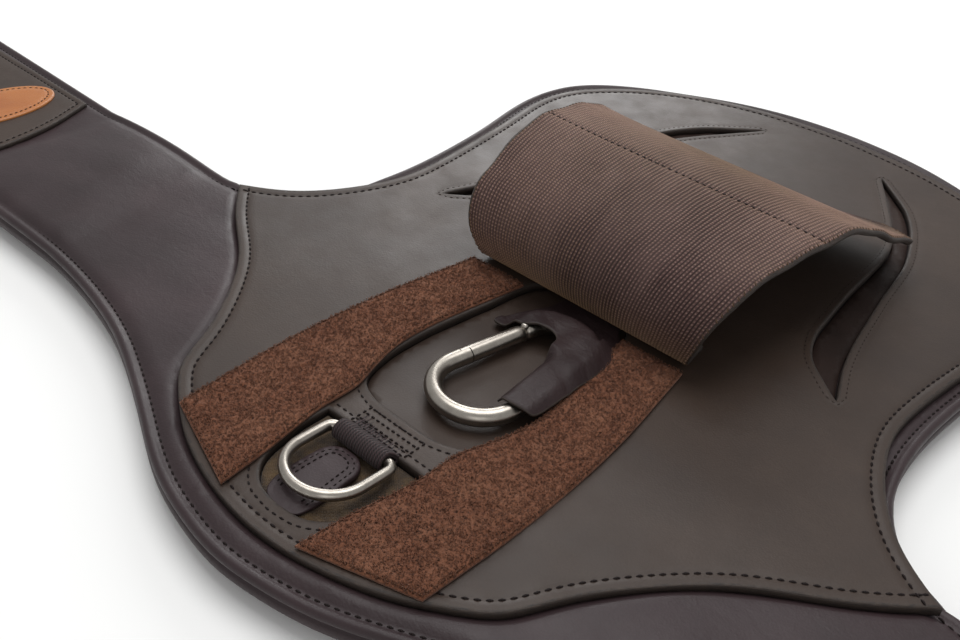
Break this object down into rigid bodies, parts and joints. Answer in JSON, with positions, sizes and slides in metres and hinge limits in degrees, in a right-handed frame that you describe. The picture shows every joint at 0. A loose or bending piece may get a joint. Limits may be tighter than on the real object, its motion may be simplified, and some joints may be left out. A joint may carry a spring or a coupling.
{
  "type": "stud guard girth",
  "caption": "Long padded leather girth with a stiff belly plate, a recessed ring and spring hook under a rolled-open hook-and-loop flap, and roller buckles on elastic ends.",
  "frame": {"origin": "middle of the girth's bounding box, on the underside that rests on the horse", "axes": "+X along the strap towards the right arm, +Y towards the plate's round rear end, +Z out of the plate's face"},
  "size_m": [1.204, 0.427, 0.0616],
  "materials": {
    "plate_leather": "smooth olive-brown leather, fine grain, semi-matt",
    "soft_leather": "soft purple-brown padded leather, fine grain",
    "lining_leather": "soft dark lining leather",
    "dark_leather": "dark purple-brown leather, slight sheen",
    "foam": "grey closed-cell foam",
    "loop_pile": "rust-brown loop pile",
    "hook_tape": "ribbed purple-brown hook tape",
    "canvas": "golden-brown woven canvas",
    "webbing": "dark ribbed webbing",
    "elastic": "dark brown wide elastic",
    "badge": "plain tan patch, blank",
    "steel": "satin stainless steel"
  },
  "bodies": {
    "root": {"body_lining": "lining_leather", "body_foam": "foam", "body_cover": "soft_leather", "belly_plate": "plate_leather", "slit_gusset_right": "dark_leather", "slit_gusset_left": "dark_leather", "d_recess_canvas": "canvas", "hook_recess_floor": "plate_leather", "loop_strip_right": "loop_pile", "loop_strip_left": "loop_pile", "d_ring_webbing": "webbing", "d_ring_tab": "soft_leather", "keeper_anchor": "dark_leather", "flap_root": "dark_leather"},
    "d_ring": {"d_ring": "steel"},
    "hook": {"snap_hook": "steel", "hook_gate_pin": "steel", "hook_gate_spring": "steel", "hook_keeper": "dark_leather"},
    "gate": {"hook_gate": "steel"},
    "flap_1": {"flap_segment_1": "hook_tape"},
    "flap_2": {"flap_segment_2": "hook_tape"},
    "flap_3": {"flap_segment_3": "hook_tape"},
    "flap_4": {"flap_segment_4": "hook_tape"},
    "flap_5": {"flap_segment_5": "hook_tape"},
    "flap_6": {"flap_segment_6": "hook_tape"},
    "arm_right": {"arm_lining_right": "lining_leather", "arm_foam_right": "foam", "arm_cover_right": "soft_leather", "arm_overlay_right": "plate_leather"},
    "end_right": {"elastic_right": "elastic", "end_tab_right": "soft_leather", "chape_right_front": "soft_leather", "buckle_frame_right_front": "steel", "chape_right_rear": "soft_leather", "buckle_frame_right_rear": "steel"},
    "tongue_right_front": {"buckle_tongue_right_front": "steel"},
    "roller_right_front": {"buckle_roller_right_front": "steel"},
    "tongue_right_rear": {"buckle_tongue_right_rear": "steel"},
    "roller_right_rear": {"buckle_roller_right_rear": "steel"},
    "arm_left": {"arm_lining_left": "lining_leather", "arm_foam_left": "foam", "arm_cover_left": "soft_leather", "arm_overlay_left": "plate_leather", "arm_badge": "badge"},
    "end_left": {"elastic_left": "elastic", "end_tab_left": "soft_leather", "chape_left_front": "soft_leather", "buckle_frame_left_front": "steel", "chape_left_rear": "soft_leather", "buckle_frame_left_rear": "steel"},
    "tongue_left_front": {"buckle_tongue_left_front": "steel"},
    "roller_left_front": {"buckle_roller_left_front": "steel"},
    "tongue_left_rear": {"buckle_tongue_left_rear": "steel"},
    "roller_left_rear": {"buckle_roller_left_rear": "steel"}
  },
  "joints": [
    {"name": "flap_fold", "type": "hinge", "parent": "root", "child": "flap_1", "pos_m": [0, -0.0332, 0.0203], "axis": [-1, 0, 0], "range_deg": [-40, 0]},
    {"name": "flap_roll_2", "type": "hinge", "parent": "flap_1", "child": "flap_2", "pos_m": [0, -0.03901, 0.03628], "axis": [-1, 0, 0], "range_deg": [-75.01, 0]},
    {"name": "flap_roll_3", "type": "hinge", "parent": "flap_2", "child": "flap_3", "pos_m": [0, -0.03268, 0.04987], "axis": [-1, 0, 0], "range_deg": [-50.5, 0]},
    {"name": "flap_roll_4", "type": "hinge", "parent": "flap_3", "child": "flap_4", "pos_m": [0, -0.00399, 0.05864], "axis": [-1, 0, 0], "range_deg": [-19.01, 0]},
    {"name": "flap_roll_5", "type": "hinge", "parent": "flap_4", "child": "flap_5", "pos_m": [0, 0.03001, 0.05805], "axis": [-1, 0, 0], "range_deg": [-19.51, 0]},
    {"name": "flap_roll_6", "type": "hinge", "parent": "flap_5", "child": "flap_6", "pos_m": [0, 0.06572, 0.04505], "axis": [-1, 0, 0], "range_deg": [-15.51, 0]},
    {"name": "d_ring_swing", "type": "hinge", "parent": "root", "child": "d_ring", "pos_m": [0, -0.1515, 0.0182], "axis": [-1, 0, 0], "range_deg": [0, 120]},
    {"name": "hook_lift", "type": "hinge", "parent": "root", "child": "hook", "pos_m": [0, -0.04385, 0.0174], "axis": [-1, 0, 0], "range_deg": [0, 35]},
    {"name": "gate_swing", "type": "hinge", "parent": "hook", "child": "gate", "pos_m": [-0.00373, -0.06389, 0.0185], "axis": [0, 0, 1], "range_deg": [0, 25], "stiffness_Nm_per_rad": 0.02},
    {"name": "arm_bend_right", "type": "hinge", "parent": "root", "child": "arm_right", "pos_m": [0.215, -0.118, 0], "axis": [0, 1, 0], "range_deg": [0, 35]},
    {"name": "elastic_stretch_right", "type": "slide", "parent": "arm_right", "child": "end_right", "axis": [1, 0, 0], "range_m": [0, 0.035], "stiffness_N_per_m": 1500},
    {"name": "tongue_right_front", "type": "hinge", "parent": "end_right", "child": "tongue_right_front", "pos_m": [0.573, -0.1405, 0.0055], "axis": [0, -1, 0], "range_deg": [0, 100]},
    {"name": "roller_right_front", "type": "hinge", "parent": "end_right", "child": "roller_right_front", "pos_m": [0.597, -0.1405, 0.0055], "axis": [0, 1, 0], "continuous": true},
    {"name": "tongue_right_rear", "type": "hinge", "parent": "end_right", "child": "tongue_right_rear", "pos_m": [0.573, -0.0955, 0.0055], "axis": [0, -1, 0], "range_deg": [0, 100]},
    {"name": "roller_right_rear", "type": "hinge", "parent": "end_right", "child": "roller_right_rear", "pos_m": [0.597, -0.0955, 0.0055], "axis": [0, 1, 0], "continuous": true},
    {"name": "arm_bend_left", "type": "hinge", "parent": "root", "child": "arm_left", "pos_m": [-0.215, -0.118, 0], "axis": [0, -1, 0], "range_deg": [0, 35]},
    {"name": "elastic_stretch_left", "type": "slide", "parent": "arm_left", "child": "end_left", "axis": [-1, 0, 0], "range_m": [0, 0.035], "stiffness_N_per_m": 1500},
    {"name": "tongue_left_front", "type": "hinge", "parent": "end_left", "child": "tongue_left_front", "pos_m": [-0.573, -0.0955, 0.0055], "axis": [0, 1, 0], "range_deg": [0, 100]},
    {"name": "roller_left_front", "type": "hinge", "parent": "end_left", "child": "roller_left_front", "pos_m": [-0.597, -0.0955, 0.0055], "axis": [0, 1, 0], "continuous": true},
    {"name": "tongue_left_rear", "type": "hinge", "parent": "end_left", "child": "tongue_left_rear", "pos_m": [-0.573, -0.1405, 0.0055], "axis": [0, 1, 0], "range_deg": [0, 100]},
    {"name": "roller_left_rear", "type": "hinge", "parent": "end_left", "child": "roller_left_rear", "pos_m": [-0.597, -0.1405, 0.0055], "axis": [0, 1, 0], "continuous": true}
  ],
  "couplings": [
    {"joint": "flap_roll_2", "follows": "flap_fold", "ratio": 1.875},
    {"joint": "flap_roll_3", "follows": "flap_fold", "ratio": 1.225},
    {"joint": "flap_roll_4", "follows": "flap_fold", "ratio": 0.475},
    {"joint": "flap_roll_5", "follows": "flap_fold", "ratio": 0.4875},
    {"joint": "flap_roll_6", "follows": "flap_fold", "ratio": 0.3875}
  ]
}
